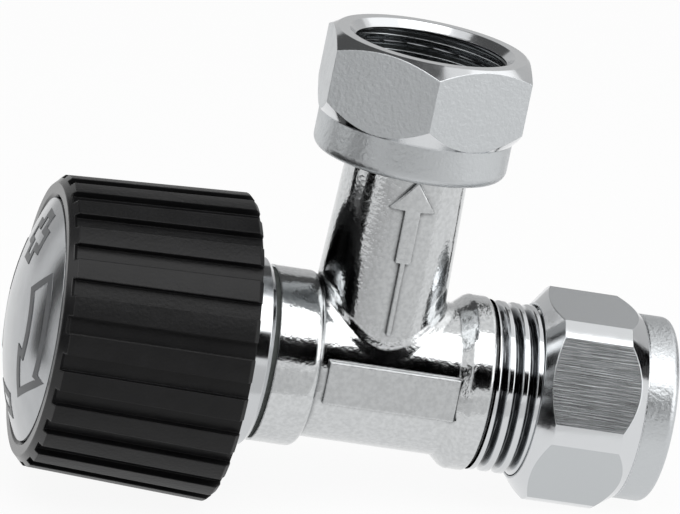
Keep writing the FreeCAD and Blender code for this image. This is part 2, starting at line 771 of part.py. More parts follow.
def knob():
    """The moulded knob: drafted shell with grooves round it, recessed face, web, boss and stays."""
    body = new_body("knob", "knob_rear")
    boss = "boss_diameter / 2"
    inner_rear = "knob_rear_radius - groove_depth - knob_wall"
    recess = "cap_diameter / 2 + bezel_gap"
    web_depth = "(web_back - knob_rear)"
    web_wall = f"{inner_rear} + knob_slope * {web_depth}"
    floor = "(bezel_floor - knob_rear)"
    screw_hole = "knob_screw_diameter / 2 + slide_gap"
    turn(body, "shell", [
        ("0", inner_rear),
        (web_depth, web_wall),
        (web_depth, boss),
        ("boss_end - knob_rear", boss),
        ("boss_end - knob_rear", screw_hole),
        (floor, screw_hole),
        (floor, recess),
        ("bezel_chamfer - knob_length", recess),
        ("-knob_length", f"{recess} + bezel_chamfer"),
        ("-knob_length", "knob_front_radius - knob_bevel"),
        ("knob_bevel - knob_length", "knob_front_radius"),
        ("-knob_bevel / 2", "knob_rear_radius - knob_slope * knob_bevel / 2"),
        ("0", "knob_rear_radius - knob_bevel / 2"),
    ])
    socket = new_sketch(body, "square_socket_outline", "YZ_Plane", "spindle_end - knob_rear")
    half = "square_across_flats / 2 + slide_gap / 2"
    outline(socket, [
        (f"-({half})", f"-({half})"),
        (half, f"-({half})"),
        (half, half),
        (f"-({half})", half),
    ])
    extrude(body, "square_socket", socket, "square_length", cut=True, reverse=True)

    stay = new_sketch(body, "stay_outline", "XZ_Plane")
    stay_end = f"{web_depth} + stay_setback"
    outline(stay, [
        (f"{web_depth} - web_thickness / 2", f"{boss} - stay_thickness / 2"),
        (stay_end, f"{boss} - stay_thickness / 2"),
        (stay_end, f"{web_wall} + knob_wall / 2"),
        (f"{web_depth} - web_thickness / 2", f"{web_wall} + knob_wall / 2"),
    ])
    first_stay = extrude(body, "stay", stay, "stay_thickness", middle=True)
    repeat(body, "stays", first_stay, stay, "H_Axis", "stay_count")

    groove = new_sketch(body, "groove_outline", "XZ_Plane")
    floor_rear = "knob_rear_radius - groove_depth"
    front = "groove_front_land - knob_length"
    outline(groove, [
        ("knob_bevel", f"{floor_rear} + knob_slope * knob_bevel"),
        ("knob_bevel", "knob_rear_radius + knob_bevel"),
        (f"{front} - groove_depth", "knob_rear_radius + knob_bevel"),
        (f"{front} - groove_depth", "knob_front_radius"),
        (front, "knob_front_radius - groove_depth + knob_slope * groove_front_land"),
    ])
    first_groove = extrude(body, "groove", groove, "groove_width", cut=True, middle=True)
    repeat(body, "grooves", first_groove, groove, "H_Axis", "rib_count")
    keep(body)


def knob_cap():
    """The domed cap: a thin shell whose skirt stands on the floor of the knob's recess."""
    body = new_body("knob_cap", "knob_front")
    edge = "cap_diameter / 2"
    inside = "cap_diameter / 2 - cap_wall"
    turn(body, "dome", [
        ("-cap_dome", "0"),
        ("0", edge),
        ("bezel_recess", edge),
        ("bezel_recess", inside),
        ("0", inside),
        ("cap_wall - cap_dome", "0"),
    ], arcs={0: DOME, 4: DOME})
    keep(body)


def compression_nut():
    """The compression nut: hexagon with coned ends, round end collar, bored for thread and olive."""
    body = new_body("compression_nut", "nut_face")
    corner = "(nut_across_flats / sqrt(3) - nut_corner_turned)"
    thread = "thread_diameter / 2 + nut_thread_gap"
    hole = "pipe_diameter / 2 + nut_hole_clearance"
    collar = "nut_collar_radius"
    turn(body, "blank", [
        ("0", thread),
        ("0", f"{corner} - nut_entry_rise"),
        ("nut_entry_chamfer", corner),
        ("nut_hex_end", corner),
        ("nut_taper_end", f"{collar} - slide_gap"),
        ("nut_taper_end + slide_gap", collar),
        ("nut_length", collar),
        ("nut_length", hole),
        ("nut_cone_end", hole),
        ("nut_thread_end", f"{hole} + nut_cone_rise"),
        ("nut_thread_end", thread),
    ])
    trim_to_hexagon(body, "flats", "YZ_Plane", "nut_across_flats", "0", "nut_taper_end", corner_up=False)
    round_edges(body, "collar_round", "nut_collar_round", ring_edge("nut_length", collar))
    body.Placement.Rotation = FreeCAD.Rotation(FreeCAD.Vector(1, 0, 0), number("nut_rest_angle"))
    keep(body)


def olive():
    """The compression ring, with a coned flank at each end."""
    body = new_body("olive", "nut_face + olive_to_nut_face")
    bore = "socket_radius - pipe_clearance + olive_clearance"
    edge = f"{bore} + olive_edge"
    crown = f"{bore} + olive_wall"
    turn(body, "olive_ring", [
        ("0", bore),
        ("olive_width", bore),
        ("olive_width", edge),
        ("olive_width - olive_flank", crown),
        ("olive_flank", crown),
        ("0", edge),
    ])
    keep(body)


def swivel_nut():
    """The union nut on the branch: round collar, hexagon, inner flange with a wire groove, thread."""
    body = new_body("swivel_nut", up="swivel_base")
    corner = "swivel_across_flats / sqrt(3)"
    collar = "swivel_across_flats / 2 - swivel_collar_gap"
    bore = "branch_radius + swivel_clearance"
    thread = "outlet_thread_bore / 2"
    relief_top = "outlet_relief_start + outlet_relief_height"
    wire_outside = "wire_ring_radius + wire_diameter / 2 + wire_gap"
    half_wire = "(wire_diameter / 2 + wire_gap)"
    turn(body, "blank", [
        (bore, "0"),
        (collar, "0"),
        (collar, "swivel_collar_height"),
        (corner, "swivel_collar_height + swivel_lower_taper"),
        (corner, "swivel_height - swivel_upper_taper"),
        (f"{corner} - swivel_upper_fall", "swivel_height"),
        (f"{thread} + outlet_mouth_chamfer", "swivel_height"),
        (thread, "swivel_height - outlet_mouth_chamfer"),
        (thread, relief_top),
        (f"{thread} + outlet_relief_depth", relief_top),
        (f"{thread} + outlet_relief_depth", "outlet_relief_start"),
        (bore, "outlet_relief_start"),
        (bore, f"wire_height + {half_wire}"),
        (wire_outside, f"wire_height + {half_wire}"),
        (wire_outside, f"wire_height - {half_wire}"),
        (bore, f"wire_height - {half_wire}"),
    ], axis="V_Axis", role="XZ_Plane")
    trim_to_hexagon(body, "flats", "XY_Plane", "swivel_across_flats", "swivel_collar_height",
                    "swivel_height - swivel_collar_height")
    round_edges(body, "collar_round", "swivel_collar_round", ring_edge("0", collar, "z"))
    body.Placement.Rotation = FreeCAD.Rotation(FreeCAD.Vector(0, 0, -1), number("swivel_rest_angle"))
    keep(body)


def swivel_retaining_ring():
    """The split wire that lies half in the branch's groove and half in the nut's."""
    ring = DOC.addObject("Part::Torus", "swivel_retaining_ring")
    ring.Label = "swivel_retaining_ring"
    ring.setExpression("Radius1", bound("wire_ring_radius"))
    ring.setExpression("Radius2", bound("wire_diameter / 2"))
    ring.setExpression("Angle3", bound("360 - wire_opening"))
    place(ring, up="swivel_base + wire_height")
    keep(ring)


def outlet_gasket():
    """The flat seal that lies on the branch's end face."""
    body = new_body("outlet_gasket", up="branch_height")
    turn(body, "gasket_ring", [
        ("gasket_hole / 2", "0"),
        ("gasket_diameter / 2", "0"),
        ("gasket_diameter / 2", "gasket_thickness"),
        ("gasket_hole / 2", "gasket_thickness"),
    ], axis="V_Axis", role="XZ_Plane")
    keep(body)


def build():
    """Make every sub-part, from the body outwards."""
    fill_sheet()
    valve_body()
    bonnet()
    flat_ring("bonnet_gasket", "flange_face", "bonnet_gasket_thickness",
              "bonnet_thread_diameter / 2 + slide_gap", "bonnet_gasket_diameter / 2")
    spindle()
    groove_room = "ring_section / 2 + seal_gap"
    seal_ring("spindle_o_ring_upper", "bonnet_top + upper_ring_to_top",
              f"ring_groove_floor + {groove_room}", "ring_section")
    seal_ring("spindle_o_ring_lower", "bonnet_top + lower_ring_to_top",
              f"ring_groove_floor + {groove_room}", "ring_section")
    flat_ring("thrust_washer", "spindle_collar_back - thrust_thickness", "thrust_thickness",
              "spindle_radius + slide_gap", "spindle_collar_diameter / 2")
    spindle_clip()
    disc_carrier()
    seal_ring("carrier_o_ring", "carrier_ring_station",
              "carrier_groove_floor + carrier_ring_section / 2 + seal_gap", "carrier_ring_section")
    flat_ring("seat_washer", "cup_floor", "washer_thickness",
              "washer_screw_diameter / 2 + slide_gap", "washer_diameter / 2")
    slotted_screw("washer_screw", "washer_face", False, "washer_screw_diameter / 2",
                  "washer_screw_length", "washer_screw_head / 2", "washer_screw_head_height")
    knob()
    knob_cap()
    slotted_screw("knob_screw", "bezel_floor", True, "knob_screw_diameter / 2",
                  "knob_screw_length", "knob_screw_head / 2", "knob_screw_head_height")
    compression_nut()
    olive()
    swivel_nut()
    swivel_retaining_ring()
    outlet_gasket()
    DOC.recompute()


def removes_nothing(feature):
    """Say whether a cut left its base as it was."""
    before = feature.BaseFeature.Shape
    after = feature.Shape
    return before.isNull() or after.isNull() or after.Volume > before.Volume - 1e-6


def check():
    """Stop if any object failed, a cut removed nothing, or a sub-part isn't one valid solid."""
    faults = []
    for item in DOC.Objects:
        if "Invalid" in item.State or "Error" in item.State:
            faults.append(f"{item.Label}: {item.State}")
        elif item.TypeId in CUTTING_FEATURES and removes_nothing(item):
            faults.append(f"{item.Label}: cuts nothing")
    for piece in SUB_PARTS:
        shape = piece.Shape
        if shape.isNull() or not shape.isValid() or len(shape.Solids) != 1:
            faults.append(f"{piece.Label}: no single valid solid")
    if faults:
        raise RuntimeError("; ".join(faults))


def export():
    """Write each sub-part to its own STEP file."""
    os.makedirs("parts", exist_ok=True)
    for piece in SUB_PARTS:
        piece.Shape.exportStep(f"parts/{piece.Label}.step")
        print(f"{piece.Label}: {piece.Shape.Volume:.1f} cubic mm")


build()
check()
export()
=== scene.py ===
"""Looks of the isolating valve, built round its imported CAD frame.

The valve's axis is X, with the knob at -X and the pipe end at +X, and its branch stands along +Z.
Sizes are written in millimetres and turned to metres where a mesh, lamp or node needs them.
"""

import logging
import math
from dataclasses import dataclass
from enum import Enum, IntEnum
from typing import Callable

import bmesh
import bpy
from mathutils import Matrix, Vector


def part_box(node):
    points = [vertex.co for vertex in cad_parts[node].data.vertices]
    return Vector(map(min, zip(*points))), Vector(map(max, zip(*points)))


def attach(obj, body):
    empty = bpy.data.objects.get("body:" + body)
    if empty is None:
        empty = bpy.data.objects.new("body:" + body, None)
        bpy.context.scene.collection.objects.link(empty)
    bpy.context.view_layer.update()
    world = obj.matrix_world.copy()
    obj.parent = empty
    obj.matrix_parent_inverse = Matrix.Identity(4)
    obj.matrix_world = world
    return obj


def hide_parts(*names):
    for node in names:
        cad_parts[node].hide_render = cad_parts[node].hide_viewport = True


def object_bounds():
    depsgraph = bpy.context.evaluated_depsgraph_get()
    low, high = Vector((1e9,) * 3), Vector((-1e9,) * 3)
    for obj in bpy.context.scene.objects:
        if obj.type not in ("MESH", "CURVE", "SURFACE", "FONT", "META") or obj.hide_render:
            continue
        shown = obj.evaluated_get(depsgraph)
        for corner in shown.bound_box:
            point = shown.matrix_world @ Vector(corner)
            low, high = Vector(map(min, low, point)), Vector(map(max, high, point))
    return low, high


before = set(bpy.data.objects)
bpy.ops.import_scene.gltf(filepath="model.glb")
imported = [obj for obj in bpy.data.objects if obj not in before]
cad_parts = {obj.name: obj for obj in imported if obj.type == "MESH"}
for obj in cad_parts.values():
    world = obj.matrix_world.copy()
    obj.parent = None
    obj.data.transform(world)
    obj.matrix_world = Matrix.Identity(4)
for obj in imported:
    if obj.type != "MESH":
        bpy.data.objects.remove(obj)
CAD_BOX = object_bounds()

MM = 0.001
WELD_MM = 0.0001
NORMALS = "cad_normal"
LOG = logging.getLogger("isolating_valve")

# Places in a piece's list of materials, after the main one
SECOND, THIRD = 1, 2
# Rays that a material casts to ease an edge
EDGE_SAMPLES = 6

Colour = tuple[float, float, float, float]
Span = tuple[float, float]
Material = bpy.types.Material
Node = bpy.types.Node
Piece = bpy.types.Object
Shell = bmesh.types.BMesh
Socket = bpy.types.NodeSocket
Tree = bpy.types.NodeTree


class Body(Enum):
    """The bodies that carry pieces of the scene's own."""

    VALVE = "valve"
    HANDLE = "handle"
    SWIVEL = "swivel"


class Slot(Enum):
    """Names of three material slots."""

    FORGING = "chrome_plated_forging"
    NUT = "chrome_plated_nut"
    CAP = "silvered_cap_plastic"


class Axis(Enum):
    """The axis that a turned surface goes round."""

    VALVE = "x"
    BRANCH = "z"


class NutFace(IntEnum):
    """The compression nut's kinds of face, by their place in its list of materials."""

    FLAT = 0
    TURNED = 1
    FROSTED = 2


def linear(hex_colour: str) -> Colour:
    """Turn an sRGB colour into linear light.

    Args:
        hex_colour: The colour as #rrggbb.

    Returns:
        Red, green, blue and an alpha of 1.
    """
    light = []
    for start in (1, 3, 5):
        part = int(hex_colour[start:start + 2], 16) / 255
        # The sRGB standard's own curve
        light.append(part / 12.92 if part <= 0.04045 else ((part + 0.055) / 1.055) ** 2.4)
    red, green, blue = light
    return red, green, blue, 1.0


def per(size_mm: float) -> float:
    """Return the texture scale that repeats at a real size, for coordinates in metres."""
    return 1.0 / (size_mm * MM)


def smoothstep(value: float) -> float:
    """Ease a value from 0 to 1, flat at both ends."""
    held = min(max(value, 0.0), 1.0)
    return held * held * (3 - 2 * held)


def emptied(owner: Material | bpy.types.World) -> Tree:
    """Empty the node tree of a new material or world.

    Args:
        owner: The material or world.

    Returns:
        Its node tree, with no nodes in it yet.
    """
    owner.use_nodes = True
    owner.node_tree.nodes.clear()
    return owner.node_tree


def add_node(tree: Tree, kind: str, settings: dict | None = None, links: dict | None = None) -> Node:
    """Add a shader node.

    Args:
        tree: The node tree that gets the node.
        kind: The node's type name.
        settings: Values for its sockets, or for its own properties where no socket has that name.
        links: Output sockets for its inputs, by name or by place.

    Returns:
        The new node.
    """
    node = tree.nodes.new(kind)
    for key, value in (settings or {}).items():
        if key in node.inputs:
            node.inputs[key].default_value = value
        else:
            setattr(node, key, value)
    for key, source in (links or {}).items():
        tree.links.new(source, node.inputs[key])
    return node


@dataclass(frozen=True)
class ThreadForm:
    """A parallel pipe thread, in millimetres: its pitch and its radii at crest and root."""

    pitch: float = 1.814
    major: float = 10.4775
    minor: float = 9.3155
    root_share: float = 0.08
    flank_share: float = 0.6

    def rise(self, along: float, angle: float) -> float:
        """Return how far up the flank a point is.

        Args:
            along: Distance along the thread's axis.
            angle: Angle round it, in radians.

        Returns:
            0 at the root and 1 at the crest.
        """
        phase = (along / self.pitch - angle / math.tau) % 1.0
        climb = 1.0 - abs(2.0 * phase - 1.0)
        return smoothstep((climb - self.root_share) / self.flank_share)


@dataclass(frozen=True)
class Finish:
    """One surface finish, with the values that hold all over it.

    Its spread is the part of its pattern's values that goes from one look to the other.
    """

    name: str
    colour: str
    roughness: float
    metallic: float = 0.0
    specular: float = 0.5
    spread: Span = (0.35, 0.65)

    def material(self) -> Material:
        """Build the finish's material.

        Returns:
            A material with a principled shader and this finish's own pattern.
        """
        material = bpy.data.materials.new(self.name)
        tree = emptied(material)
        shader = add_node(tree, "ShaderNodeBsdfPrincipled", {
            "Base Color": linear(self.colour),
            "Roughness": self.roughness,
            "Metallic": self.metallic,
            "Specular IOR Level": self.specular,
        })
        add_node(tree, "ShaderNodeOutputMaterial", links={"Surface": shader.outputs["BSDF"]})
        place = add_node(tree, "ShaderNodeTexCoord").outputs["Object"]
        self.pattern(tree, shader, place)
        return material

    def pattern(self, tree: Tree, shader: Node, place: Socket) -> None:
        """Add the finish's own pattern.

        Args:
            tree: The material's node tree.
            shader: Its principled shader.
            place: The piece's own coordinates, in metres.
        """


@dataclass(frozen=True)
class ForgedChrome(Finish):
    """Chrome over a hot-forged brass skin: a mirror that ripples, with a fine pebbled grain and painted
    shade in its creases.
    """

    ripple_mm: float = 3.2
    ripple_height_mm: float = 0.03
    grain_mm: float = 0.5
    grain_height_mm: float = 0.024
    edge_mm: float = 0.4
    dull_share: float = 0.06
    # Painted shade in the creases: how far it reaches, its rays, its spread of values and its colour
    crease_shade_mm: float = 0.8
    crease_shade_samples: int = 8
    crease_shade_spread: Span = (0.4, 0.9)
    crease_shade_colour: str = "#2e2f30"
    pit_share: float = 0.86

    def pattern(self, tree: Tree, shader: Node, place: Socket) -> None:
        """Ripple and pebble the mirror, ease its edges, dull it in patches and paint shade into its
        creases.

        Args:
            tree: The material's node tree.
            shader: Its principled shader.
            place: The piece's own coordinates, in metres.
        """
        low, high = self.spread
        ripple = add_node(tree, "ShaderNodeTexNoise", {
            "Scale": per(self.ripple_mm),
            "Detail": 1.0,
        }, {"Vector": place})
        grain = add_node(tree, "ShaderNodeTexNoise", {
            "Scale": per(self.grain_mm),
            "Detail": 2.0,
        }, {"Vector": place})
        edge = add_node(tree, "ShaderNodeBevel", {"samples": EDGE_SAMPLES, "Radius": self.edge_mm * MM})
        broad = add_node(tree, "ShaderNodeBump", {"Distance": self.ripple_height_mm * MM}, {
            "Height": ripple.outputs["Fac"],
            "Normal": edge.outputs["Normal"],
        })
        fine = add_node(tree, "ShaderNodeBump", {"Distance": self.grain_height_mm * MM}, {
            "Height": grain.outputs["Fac"],
            "Normal": broad.outputs["Normal"],
        })
        dull = add_node(tree, "ShaderNodeMapRange", {
            "From Min": low,
            "From Max": high,
            "To Min": self.roughness,
            "To Max": self.roughness + self.dull_share,
        }, {"Value": ripple.outputs["Fac"]})
        tree.links.new(dull.outputs["Result"], shader.inputs["Roughness"])
        tree.links.new(fine.outputs["Normal"], shader.inputs["Normal"])
        # Painted shade: ambient occlusion darkens the base colour in creases and round raised marks, down
        # to the shade colour
        painted_crease_shade = add_node(tree, "ShaderNodeAmbientOcclusion", {
            "samples": self.crease_shade_samples,
            "only_local": True,
            "Distance": self.crease_shade_mm * MM,
        })
        pits = add_node(tree, "ShaderNodeMapRange", {
            "From Min": low,
            "From Max": high,
            "To Min": self.pit_share,
        }, {"Value": grain.outputs["Fac"]})
        unshaded_share = add_node(tree, "ShaderNodeMapRange", {
            "From Min": self.crease_shade_spread[0],
            "From Max": self.crease_shade_spread[1],
        }, {
            "Value": painted_crease_shade.outputs["AO"],
            "To Max": pits.outputs["Result"],
        })
        tint = add_node(tree, "ShaderNodeValToRGB", links={"Fac": unshaded_share.outputs["Result"]})
        dark, bright = tint.color_ramp.elements
        dark.color = linear(self.crease_shade_colour)
        bright.color = linear(self.colour)
        tree.links.new(tint.outputs["Color"], shader.inputs["Base Color"])


@dataclass(frozen=True)
class LinedMetal(Finish):
    """Metal that was turned, drawn or blasted: its lines or grain blur what it mirrors across them."""

    spread: Span = (0.3, 0.7)
    line_mm: Vector = Vector((0.3, 0.3, 0.3))
    line_height_mm: float = 0.004
    blotch_mm: float = 2.0
    dull_share: float = 0.08
    edge_mm: float = 0.15

    def pattern(self, tree: Tree, shader: Node, place: Socket) -> None:
        """Draw the tool lines as stretched noise, and dull the surface in soft blotches.

        Args:
            tree: The material's node tree.
            shader: Its principled shader.
            place: The piece's own coordinates, in metres.
        """
        stretch = add_node(tree, "ShaderNodeMapping", {
            "Scale": [per(size) for size in self.line_mm],
        }, {"Vector": place})
        lines = add_node(tree, "ShaderNodeTexNoise", {
            "Scale": 1.0,
            "Detail": 2.0,
        }, {"Vector": stretch.outputs["Vector"]})
        blotch = add_node(tree, "ShaderNodeTexNoise", {
            "Scale": per(self.blotch_mm),
            "Detail": 2.0,
        }, {"Vector": place})
        edge = add_node(tree, "ShaderNodeBevel", {"samples": EDGE_SAMPLES, "Radius": self.edge_mm * MM})
        cut = add_node(tree, "ShaderNodeBump", {"Distance": self.line_height_mm * MM}, {
            "Height": lines.outputs["Fac"],
            "Normal": edge.outputs["Normal"],
        })
        dull = add_node(tree, "ShaderNodeMapRange", {
            "From Min": self.spread[0],
            "From Max": self.spread[1],
            "To Min": self.roughness,
            "To Max": self.roughness + self.dull_share,
        }, {"Value": blotch.outputs["Fac"]})
        tree.links.new(dull.outputs["Result"], shader.inputs["Roughness"])
        tree.links.new(cut.outputs["Normal"], shader.inputs["Normal"])


@dataclass(frozen=True)
class ThreadChrome(Finish):
    """Chrome over a cut thread: bright on the crests, with shade painted dark down in the roots."""

    spread: Span = (0.15, 0.75)
    axis: Axis = Axis.VALVE
    centre_mm: float = 0.0
    # Colour of the painted shade in the roots
    root_shade_colour: str = "#5c5e60"
    root_mm: float = ThreadForm.minor
    crest_mm: float = ThreadForm.major

    def pattern(self, tree: Tree, shader: Node, place: Socket) -> None:
        """Paint shade into the thread's roots, by distance from the axis.

        Args:
            tree: The material's node tree.
            shader: Its principled shader.
            place: The piece's own coordinates, in metres.
        """
        along = self.axis is Axis.VALVE
        out = add_node(tree, "ShaderNodeVectorMath", {"operation": "SUBTRACT"}, {0: place})
        out.inputs[1].default_value = (self.centre_mm * MM, 0.0, 0.0)
        flat = add_node(tree, "ShaderNodeVectorMath", {"operation": "MULTIPLY"}, {0: out.outputs["Vector"]})
        flat.inputs[1].default_value = (0.0, 1.0, 1.0) if along else (1.0, 1.0, 0.0)
        reach = add_node(tree, "ShaderNodeVectorMath", {"operation": "LENGTH"}, {0: flat.outputs["Vector"]})
        share = add_node(tree, "ShaderNodeMapRange", {
            "From Min": self.root_mm * MM,
            "From Max": self.crest_mm * MM,
        }, {"Value": reach.outputs["Value"]})
        # Painted shade: the colour darkens from the crests down to the roots
        tint = add_node(tree, "ShaderNodeValToRGB", links={"Fac": share.outputs["Result"]})
        root, crest = tint.color_ramp.elements
        root.position, crest.position = self.spread
        root.color = linear(self.root_shade_colour)
        crest.color = linear(self.colour)
        tree.links.new(tint.outputs["Color"], shader.inputs["Base Color"])


@dataclass(frozen=True)
class GrainedSolid(Finish):
    """A moulded, pressed, turned or coated solid: a colour that drifts a little, with a fine grain."""

    drift_colour: str = "#808080"
    drift_mm: float = 3.0
    grain_mm: float = 0.3
    grain_height_mm: float = 0.01
    edge_mm: float = 0.1

    def pattern(self, tree: Tree, shader: Node, place: Socket) -> None:
        """Drift between two near colours and raise the grain.

        Args:
            tree: The material's node tree.
            shader: Its principled shader.
            place: The piece's own coordinates, in metres.
        """
        drift = add_node(tree, "ShaderNodeTexNoise", {
            "Scale": per(self.drift_mm),
            "Detail": 3.0,
        }, {"Vector": place})
        tint = add_node(tree, "ShaderNodeValToRGB", links={"Fac": drift.outputs["Fac"]})
        near, far = tint.color_ramp.elements
        near.position, far.position = self.spread
        near.color = linear(self.colour)
        far.color = linear(self.drift_colour)
        grain = add_node(tree, "ShaderNodeTexNoise", {
            "Scale": per(self.grain_mm),
            "Detail": 2.0,
        }, {"Vector": place})
        edge = add_node(tree, "ShaderNodeBevel", {"samples": EDGE_SAMPLES, "Radius": self.edge_mm * MM})
        raised = add_node(tree, "ShaderNodeBump", {"Distance": self.grain_height_mm * MM}, {
            "Height": grain.outputs["Fac"],
            "Normal": edge.outputs["Normal"],
        })
        tree.links.new(tint.outputs["Color"], shader.inputs["Base Color"])
        tree.links.new(raised.outputs["Normal"], shader.inputs["Normal"])


@dataclass
class TurnedWall:
    """A round wall of a CAD piece, which a thread takes the place of."""

    axis: Axis
    centre: Vector
    radius: float
    around: int = 160
    rows_a_pitch: int = 18
    overlap_mm: float = 0.1

    def spot(self, along: float, angle: float, radius: float) -> Vector:
        """Return a point in metres.

        Args:
            along: Place along the axis, in millimetres of the frame.
            angle: Angle round the axis, in radians.
            radius: Distance from the axis, in millimetres.

        Returns:
            The point in the frame.
        """
        over, up = radius * math.cos(angle), radius * math.sin(angle)
        if self.axis is Axis.VALVE:
            return self.centre + Vector((along, over, up)) * MM
        return self.centre + Vector((over, up, along)) * MM

    def reach(self, point: Vector) -> tuple[float, float]:
        """Measure a point from the axis.

        Args:
            point: The point in the frame, in metres.

        Returns:
            Its place along the axis and its distance from it, in millimetres.
        """
        local = (point - self.centre) / MM
        if self.axis is Axis.VALVE:
            return local.x, math.hypot(local.y, local.z)
        return local.z, math.hypot(local.x, local.y)

    def faces(self, shell: Shell, slack_mm: float = 0.02) -> list[bmesh.types.BMFace]:
        """Return the shell's faces that lie on this wall."""
        return [face for face in shell.faces
                if all(abs(self.reach(vert.co)[1] - self.radius) < slack_mm for vert in face.verts)]

    def recess(self, shell: Shell, radius: float) -> tuple[float, float]:
        """Move the wall to another radius, with a step at each end, so that a thread can stand there.

        Args:
            shell: The piece's mesh.
            radius: The wall's new radius.

        Returns:
            The wall's start and end along the axis.
        """
        wall = set(self.faces(shell))
        stations = [self.reach(vert.co)[0] for face in wall for vert in face.verts]
        rims = {edge for face in wall for edge in face.edges
                if sum(side in wall for side in edge.link_faces) == 1}
        bmesh.ops.delete(shell, geom=list(wall), context="FACES")
        made = bmesh.ops.extrude_edge_only(shell, edges=list(rims))["geom"]
        verts = {item for item in made if isinstance(item, bmesh.types.BMVert)}
        for vert in verts:
            along, reach = self.reach(vert.co)
            out = vert.co - self.spot(along, 0.0, 0.0)
            vert.co = self.spot(along, 0.0, 0.0) + out * (radius / reach)
        loops = [item for item in made
                 if isinstance(item, bmesh.types.BMEdge) and verts.issuperset(item.verts)]
        bmesh.ops.bridge_loops(shell, edges=loops)
        return min(stations), max(stations)

    def sleeve(self, shell: Shell, start: float, end: float, back: float,
               surface: Callable[[float, float], float]) -> None:
        """Add a closed sleeve, in the piece's second material, from a plain back to a threaded surface.

        Args:
            shell: The piece's mesh.
            start: Where the sleeve begins along the axis.
            end: Where it ends.
            back: Radius of its hidden plain wall.
            surface: Radius of the threaded surface, by place along the axis and angle.
        """
        rows = round((end - start) / ThreadForm.pitch * self.rows_a_pitch)
        angles = [math.tau * step / self.around for step in range(self.around)]
        stations = [start + (end - start) * row / rows for row in range(rows + 1)]
        rings = [[shell.verts.new(self.spot(start, angle, back)) for angle in angles]]
        for along in stations:
            spots = [self.spot(along, angle, surface(along, angle)) for angle in angles]
            rings.append([shell.verts.new(spot) for spot in spots])
        rings.append([shell.verts.new(self.spot(end, angle, back)) for angle in angles])
        add_ring(shell, rings, SECOND)


def copied(node: str) -> Shell:
    """Copy a CAD node's mesh, welded, with the CAD surface's normals kept on its corners.

    Args:
        node: The node's name.

    Returns:
        The copy, for the caller to change and free.
    """
    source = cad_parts[node].data
    shell = bmesh.new()
    shell.from_mesh(source)
    normals = iter(source.corner_normals)
    layer = shell.loops.layers.float_vector.new(NORMALS)
    for face in shell.faces:
        for corner in face.loops:
            corner[layer] = next(normals).vector
    bmesh.ops.remove_doubles(shell, verts=shell.verts, dist=WELD_MM * MM)
    return shell


def stand_in(shell: Shell, name: str, node: str, body: Body,
             materials: list[Material], sharp_deg: float = 32.0) -> Piece:
    """Show a changed copy in place of a CAD node.

    Args:
        shell: The changed mesh, which is freed.
        name: The new piece's name.
        node: The CAD node that it stands for.
        body: The body that carries it.
        materials: Its materials, the main one first.
        sharp_deg: Edges that turn by more than this stay sharp.

    Returns:
        The new piece.
    """
    mesh = bpy.data.meshes.new(name)
    shell.to_mesh(mesh)
    shell.free()
    for material in materials:
        mesh.materials.append(material)
    mesh.shade_smooth()
    mesh.set_sharp_from_angle(angle=math.radians(sharp_deg))
    normals = [corner.vector.copy() for corner in mesh.attributes[NORMALS].data]
    mesh.attributes.remove(mesh.attributes[NORMALS])
    mesh.normals_split_custom_set(normals)
    piece = bpy.data.objects.new(name, mesh)
    bpy.context.scene.collection.objects.link(piece)
    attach(piece, body.value)
    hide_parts(node)
    return piece


def add_ring(shell: Shell, sections: list[list[bmesh.types.BMVert]], finish: int = 0) -> None:
    """Join closed sections, each to the next and the last to the first.

    Args:
        shell: The piece's mesh.
        sections: The points of each section, in the same order.
        finish: Which of the piece's materials the ring gets.
    """
    made = []
    for section, following in zip(sections, sections[1:] + sections[:1]):
        for place in range(len(section)):
            after = (place + 1) % len(section)
            corners = (section[place], section[after], following[after], following[place])
            made.append(shell.faces.new(corners))
            made[-1].material_index = finish
    bmesh.ops.recalc_face_normals(shell, faces=made)


def dress(node: str, material: Material) -> Piece:
    """Give a CAD node a material of the scene's own.

    Args:
        node: The node's name.
        material: Its material.

    Returns:
        The node's object.
    """
    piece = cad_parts[node]
    piece.data.materials[0] = material
    return piece


